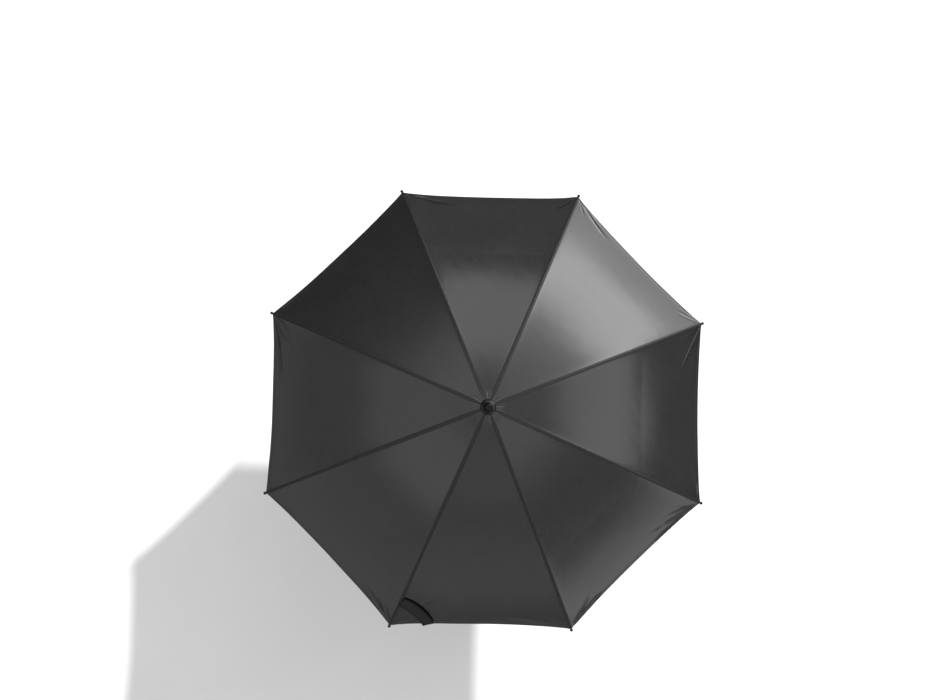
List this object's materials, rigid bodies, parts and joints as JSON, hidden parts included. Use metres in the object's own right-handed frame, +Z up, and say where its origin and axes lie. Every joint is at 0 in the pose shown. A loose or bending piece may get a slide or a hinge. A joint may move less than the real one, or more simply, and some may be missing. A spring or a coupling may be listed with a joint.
{
  "type": "golf umbrella",
  "caption": "Open manual golf umbrella: wide domed fabric canopy on hinged ribs and stretchers, sliding runner, straight shaft, spike ferrule and straight foam grip.",
  "frame": {"origin": "centre of the flat end of the handle", "axes": "+Z up along the shaft to the ferrule; +X and +Y each run under the middle of a canopy panel"},
  "size_m": [1.211, 1.211, 0.9903],
  "materials": {
    "canopy_fabric": "black woven polyester or nylon with a satin sheen",
    "strap_fabric": "black woven strap, matt",
    "black_rod": "black fibreglass rod, satin",
    "black_steel": "black coated steel, satin",
    "wire_steel": "drawn wire",
    "black_plastic": "black moulded plastic, gloss",
    "grip_foam": "black foam grip, matt"
  },
  "bodies": {
    "shaft": {"shaft_tube": "black_steel", "ferrule": "black_plastic", "top_cap": "black_plastic", "crown_hub": "black_plastic", "crown_wire": "wire_steel", "handle_grip": "grip_foam", "handle_end_cap": "black_plastic"},
    "rib_arm_1": {"rib_1": "black_rod", "rib_joint_1": "black_plastic", "rib_tip_1": "black_plastic"},
    "strut_1": {"stretcher_1": "black_steel"},
    "fold_left_1": {"panel_left_of_rib_1": "canopy_fabric"},
    "fold_right_1": {"panel_right_of_rib_1": "canopy_fabric"},
    "rib_arm_2": {"rib_2": "black_rod", "rib_joint_2": "black_plastic", "rib_tip_2": "black_plastic"},
    "strut_2": {"stretcher_2": "black_steel"},
    "fold_left_2": {"panel_left_of_rib_2": "canopy_fabric"},
    "fold_right_2": {"panel_right_of_rib_2": "canopy_fabric"},
    "rib_arm_3": {"rib_3": "black_rod", "rib_joint_3": "black_plastic", "rib_tip_3": "black_plastic"},
    "strut_3": {"stretcher_3": "black_steel"},
    "fold_left_3": {"panel_left_of_rib_3": "canopy_fabric"},
    "fold_right_3": {"panel_right_of_rib_3": "canopy_fabric"},
    "rib_arm_4": {"rib_4": "black_rod", "rib_joint_4": "black_plastic", "rib_tip_4": "black_plastic"},
    "strut_4": {"stretcher_4": "black_steel"},
    "fold_left_4": {"panel_left_of_rib_4": "canopy_fabric"},
    "fold_right_4": {"panel_right_of_rib_4": "canopy_fabric"},
    "rib_arm_5": {"rib_5": "black_rod", "rib_joint_5": "black_plastic", "rib_tip_5": "black_plastic"},
    "strut_5": {"stretcher_5": "black_steel"},
    "fold_left_5": {"panel_left_of_rib_5": "canopy_fabric"},
    "fold_right_5": {"panel_right_of_rib_5": "canopy_fabric"},
    "rib_arm_6": {"rib_6": "black_rod", "rib_joint_6": "black_plastic", "rib_tip_6": "black_plastic", "tie_strap": "strap_fabric"},
    "strut_6": {"stretcher_6": "black_steel"},
    "fold_left_6": {"panel_left_of_rib_6": "canopy_fabric"},
    "fold_right_6": {"panel_right_of_rib_6": "canopy_fabric"},
    "rib_arm_7": {"rib_7": "black_rod", "rib_joint_7": "black_plastic", "rib_tip_7": "black_plastic"},
    "strut_7": {"stretcher_7": "black_steel"},
    "fold_left_7": {"panel_left_of_rib_7": "canopy_fabric"},
    "fold_right_7": {"panel_right_of_rib_7": "canopy_fabric"},
    "rib_arm_8": {"rib_8": "black_rod", "rib_joint_8": "black_plastic", "rib_tip_8": "black_plastic"},
    "strut_8": {"stretcher_8": "black_steel"},
    "fold_left_8": {"panel_left_of_rib_8": "canopy_fabric"},
    "fold_right_8": {"panel_right_of_rib_8": "canopy_fabric"},
    "runner_slide": {"runner": "black_plastic", "runner_wire": "wire_steel"},
    "top_catch_lever": {"top_catch": "black_steel"},
    "bottom_catch_lever": {"bottom_catch": "black_steel"}
  },
  "joints": [
    {"name": "canopy_fold", "type": "hinge", "parent": "shaft", "child": "rib_arm_1", "pos_m": [0.01155, 0.00478, 0.925], "axis": [-0.3827, 0.9239, 0], "range_deg": [0, 63]},
    {"name": "strut_1_fold", "type": "hinge", "parent": "rib_arm_1", "child": "strut_1", "pos_m": [0.3106, 0.12865, 0.80629], "axis": [-0.3827, 0.9239, 0], "range_deg": [-126.1, 0.1]},
    {"name": "gather_left_1", "type": "hinge", "parent": "rib_arm_1", "child": "fold_left_1", "pos_m": [0.01155, 0.00478, 0.925], "axis": [-0.1024, -0.5223, -0.8466], "range_deg": [-0.05, 19.27], "deforming": ["panel_left_of_rib_1"]},
    {"name": "gather_right_1", "type": "hinge", "parent": "rib_arm_1", "child": "fold_right_1", "pos_m": [0.01155, 0.00478, 0.925], "axis": [0.4417, -0.2969, 0.8466], "range_deg": [-0.05, 19.27], "deforming": ["panel_right_of_rib_1"]},
    {"name": "rib_2_fold", "type": "hinge", "parent": "shaft", "child": "rib_arm_2", "pos_m": [0.00478, 0.01155, 0.925], "axis": [-0.9239, 0.3827, 0], "range_deg": [-0.05, 63.05]},
    {"name": "strut_2_fold", "type": "hinge", "parent": "rib_arm_2", "child": "strut_2", "pos_m": [0.12865, 0.3106, 0.80629], "axis": [-0.9239, 0.3827, 0], "range_deg": [-126.1, 0.1]},
    {"name": "gather_left_2", "type": "hinge", "parent": "rib_arm_2", "child": "fold_left_2", "pos_m": [0.00478, 0.01155, 0.925], "axis": [0.2969, -0.4417, -0.8466], "range_deg": [-0.05, 19.27], "deforming": ["panel_left_of_rib_2"]},
    {"name": "gather_right_2", "type": "hinge", "parent": "rib_arm_2", "child": "fold_right_2", "pos_m": [0.00478, 0.01155, 0.925], "axis": [0.5223, 0.1024, 0.8466], "range_deg": [-0.05, 19.27], "deforming": ["panel_right_of_rib_2"]},
    {"name": "rib_3_fold", "type": "hinge", "parent": "shaft", "child": "rib_arm_3", "pos_m": [-0.00478, 0.01155, 0.925], "axis": [-0.9239, -0.3827, 0], "range_deg": [-0.05, 63.05]},
    {"name": "strut_3_fold", "type": "hinge", "parent": "rib_arm_3", "child": "strut_3", "pos_m": [-0.12865, 0.3106, 0.80629], "axis": [-0.9239, -0.3827, 0], "range_deg": [-126.1, 0.1]},
    {"name": "gather_left_3", "type": "hinge", "parent": "rib_arm_3", "child": "fold_left_3", "pos_m": [-0.00478, 0.01155, 0.925], "axis": [0.5223, -0.1024, -0.8466], "range_deg": [-0.05, 19.27], "deforming": ["panel_left_of_rib_3"]},
    {"name": "gather_right_3", "type": "hinge", "parent": "rib_arm_3", "child": "fold_right_3", "pos_m": [-0.00478, 0.01155, 0.925], "axis": [0.2969, 0.4417, 0.8466], "range_deg": [-0.05, 19.27], "deforming": ["panel_right_of_rib_3"]},
    {"name": "rib_4_fold", "type": "hinge", "parent": "shaft", "child": "rib_arm_4", "pos_m": [-0.01155, 0.00478, 0.925], "axis": [-0.3827, -0.9239, 0], "range_deg": [-0.05, 63.05]},
    {"name": "strut_4_fold", "type": "hinge", "parent": "rib_arm_4", "child": "strut_4", "pos_m": [-0.3106, 0.12865, 0.80629], "axis": [-0.3827, -0.9239, 0], "range_deg": [-126.1, 0.1]},
    {"name": "gather_left_4", "type": "hinge", "parent": "rib_arm_4", "child": "fold_left_4", "pos_m": [-0.01155, 0.00478, 0.925], "axis": [0.4417, 0.2969, -0.8466], "range_deg": [-0.05, 19.27], "deforming": ["panel_left_of_rib_4"]},
    {"name": "gather_right_4", "type": "hinge", "parent": "rib_arm_4", "child": "fold_right_4", "pos_m": [-0.01155, 0.00478, 0.925], "axis": [-0.1024, 0.5223, 0.8466], "range_deg": [-0.05, 19.27], "deforming": ["panel_right_of_rib_4"]},
    {"name": "rib_5_fold", "type": "hinge", "parent": "shaft", "child": "rib_arm_5", "pos_m": [-0.01155, -0.00478, 0.925], "axis": [0.3827, -0.9239, 0], "range_deg": [-0.05, 63.05]},
    {"name": "strut_5_fold", "type": "hinge", "parent": "rib_arm_5", "child": "strut_5", "pos_m": [-0.3106, -0.12865, 0.80629], "axis": [0.3827, -0.9239, 0], "range_deg": [-126.1, 0.1]},
    {"name": "gather_left_5", "type": "hinge", "parent": "rib_arm_5", "child": "fold_left_5", "pos_m": [-0.01155, -0.00478, 0.925], "axis": [0.1024, 0.5223, -0.8466], "range_deg": [-0.05, 19.27], "deforming": ["panel_left_of_rib_5"]},
    {"name": "gather_right_5", "type": "hinge", "parent": "rib_arm_5", "child": "fold_right_5", "pos_m": [-0.01155, -0.00478, 0.925], "axis": [-0.4417, 0.2969, 0.8466], "range_deg": [-0.05, 19.27], "deforming": ["panel_right_of_rib_5"]},
    {"name": "rib_6_fold", "type": "hinge", "parent": "shaft", "child": "rib_arm_6", "pos_m": [-0.00478, -0.01155, 0.925], "axis": [0.9239, -0.3827, 0], "range_deg": [-0.05, 63.05]},
    {"name": "strut_6_fold", "type": "hinge", "parent": "rib_arm_6", "child": "strut_6", "pos_m": [-0.12865, -0.3106, 0.80629], "axis": [0.9239, -0.3827, 0], "range_deg": [-126.1, 0.1]},
    {"name": "gather_left_6", "type": "hinge", "parent": "rib_arm_6", "child": "fold_left_6", "pos_m": [-0.00478, -0.01155, 0.925], "axis": [-0.2969, 0.4417, -0.8466], "range_deg": [-0.05, 19.27], "deforming": ["panel_left_of_rib_6", "tie_strap"]},
    {"name": "gather_right_6", "type": "hinge", "parent": "rib_arm_6", "child": "fold_right_6", "pos_m": [-0.00478, -0.01155, 0.925], "axis": [-0.5223, -0.1024, 0.8466], "range_deg": [-0.05, 19.27], "deforming": ["panel_right_of_rib_6"]},
    {"name": "rib_7_fold", "type": "hinge", "parent": "shaft", "child": "rib_arm_7", "pos_m": [0.00478, -0.01155, 0.925], "axis": [0.9239, 0.3827, 0], "range_deg": [-0.05, 63.05]},
    {"name": "strut_7_fold", "type": "hinge", "parent": "rib_arm_7", "child": "strut_7", "pos_m": [0.12865, -0.3106, 0.80629], "axis": [0.9239, 0.3827, 0], "range_deg": [-126.1, 0.1]},
    {"name": "gather_left_7", "type": "hinge", "parent": "rib_arm_7", "child": "fold_left_7", "pos_m": [0.00478, -0.01155, 0.925], "axis": [-0.5223, 0.1024, -0.8466], "range_deg": [-0.05, 19.27], "deforming": ["panel_left_of_rib_7"]},
    {"name": "gather_right_7", "type": "hinge", "parent": "rib_arm_7", "child": "fold_right_7", "pos_m": [0.00478, -0.01155, 0.925], "axis": [-0.2969, -0.4417, 0.8466], "range_deg": [-0.05, 19.27], "deforming": ["panel_right_of_rib_7"]},
    {"name": "rib_8_fold", "type": "hinge", "parent": "shaft", "child": "rib_arm_8", "pos_m": [0.01155, -0.00478, 0.925], "axis": [0.3827, 0.9239, 0], "range_deg": [-0.05, 63.05]},
    {"name": "strut_8_fold", "type": "hinge", "parent": "rib_arm_8", "child": "strut_8", "pos_m": [0.3106, -0.12865, 0.80629], "axis": [0.3827, 0.9239, 0], "range_deg": [-126.1, 0.1]},
    {"name": "gather_left_8", "type": "hinge", "parent": "rib_arm_8", "child": "fold_left_8", "pos_m": [0.01155, -0.00478, 0.925], "axis": [-0.4417, -0.2969, -0.8466], "range_deg": [-0.05, 19.27], "deforming": ["panel_left_of_rib_8"]},
    {"name": "gather_right_8", "type": "hinge", "parent": "rib_arm_8", "child": "fold_right_8", "pos_m": [0.01155, -0.00478, 0.925], "axis": [0.1024, -0.5223, 0.8466], "range_deg": [-0.05, 19.27], "deforming": ["panel_right_of_rib_8"]},
    {"name": "runner_pivot", "type": "hinge", "parent": "strut_1", "child": "runner_slide", "pos_m": [0.01155, 0.00478, 0.68759], "axis": [-0.3827, 0.9239, 0], "range_deg": [-0.05, 63.05]},
    {"name": "top_catch_press", "type": "hinge", "parent": "shaft", "child": "top_catch_lever", "pos_m": [0, -0.004, 0.61299], "axis": [-1, 0, 0], "range_deg": [0, 7], "stiffness_Nm_per_rad": 0.3},
    {"name": "bottom_catch_press", "type": "hinge", "parent": "shaft", "child": "bottom_catch_lever", "pos_m": [0, -0.004, 0.192], "axis": [-1, 0, 0], "range_deg": [0, 7], "stiffness_Nm_per_rad": 0.3}
  ],
  "couplings": [
    {"joint": "strut_1_fold", "follows": "canopy_fold", "ratio": -2},
    {"joint": "gather_left_1", "follows": "canopy_fold", "ratio": 0.30555},
    {"joint": "gather_right_1", "follows": "canopy_fold", "ratio": 0.30555},
    {"joint": "rib_2_fold", "follows": "canopy_fold", "ratio": 1},
    {"joint": "strut_2_fold", "follows": "canopy_fold", "ratio": -2},
    {"joint": "gather_left_2", "follows": "canopy_fold", "ratio": 0.30555},
    {"joint": "gather_right_2", "follows": "canopy_fold", "ratio": 0.30555},
    {"joint": "rib_3_fold", "follows": "canopy_fold", "ratio": 1},
    {"joint": "strut_3_fold", "follows": "canopy_fold", "ratio": -2},
    {"joint": "gather_left_3", "follows": "canopy_fold", "ratio": 0.30555},
    {"joint": "gather_right_3", "follows": "canopy_fold", "ratio": 0.30555},
    {"joint": "rib_4_fold", "follows": "canopy_fold", "ratio": 1},
    {"joint": "strut_4_fold", "follows": "canopy_fold", "ratio": -2},
    {"joint": "gather_left_4", "follows": "canopy_fold", "ratio": 0.30555},
    {"joint": "gather_right_4", "follows": "canopy_fold", "ratio": 0.30555},
    {"joint": "rib_5_fold", "follows": "canopy_fold", "ratio": 1},
    {"joint": "strut_5_fold", "follows": "canopy_fold", "ratio": -2},
    {"joint": "gather_left_5", "follows": "canopy_fold", "ratio": 0.30555},
    {"joint": "gather_right_5", "follows": "canopy_fold", "ratio": 0.30555},
    {"joint": "rib_6_fold", "follows": "canopy_fold", "ratio": 1},
    {"joint": "strut_6_fold", "follows": "canopy_fold", "ratio": -2},
    {"joint": "gather_left_6", "follows": "canopy_fold", "ratio": 0.30555},
    {"joint": "gather_right_6", "follows": "canopy_fold", "ratio": 0.30555},
    {"joint": "rib_7_fold", "follows": "canopy_fold", "ratio": 1},
    {"joint": "strut_7_fold", "follows": "canopy_fold", "ratio": -2},
    {"joint": "gather_left_7", "follows": "canopy_fold", "ratio": 0.30555},
    {"joint": "gather_right_7", "follows": "canopy_fold", "ratio": 0.30555},
    {"joint": "rib_8_fold", "follows": "canopy_fold", "ratio": 1},
    {"joint": "strut_8_fold", "follows": "canopy_fold", "ratio": -2},
    {"joint": "gather_left_8", "follows": "canopy_fold", "ratio": 0.30555},
    {"joint": "gather_right_8", "follows": "canopy_fold", "ratio": 0.30555},
    {"joint": "runner_pivot", "follows": "canopy_fold", "ratio": 1}
  ]
}
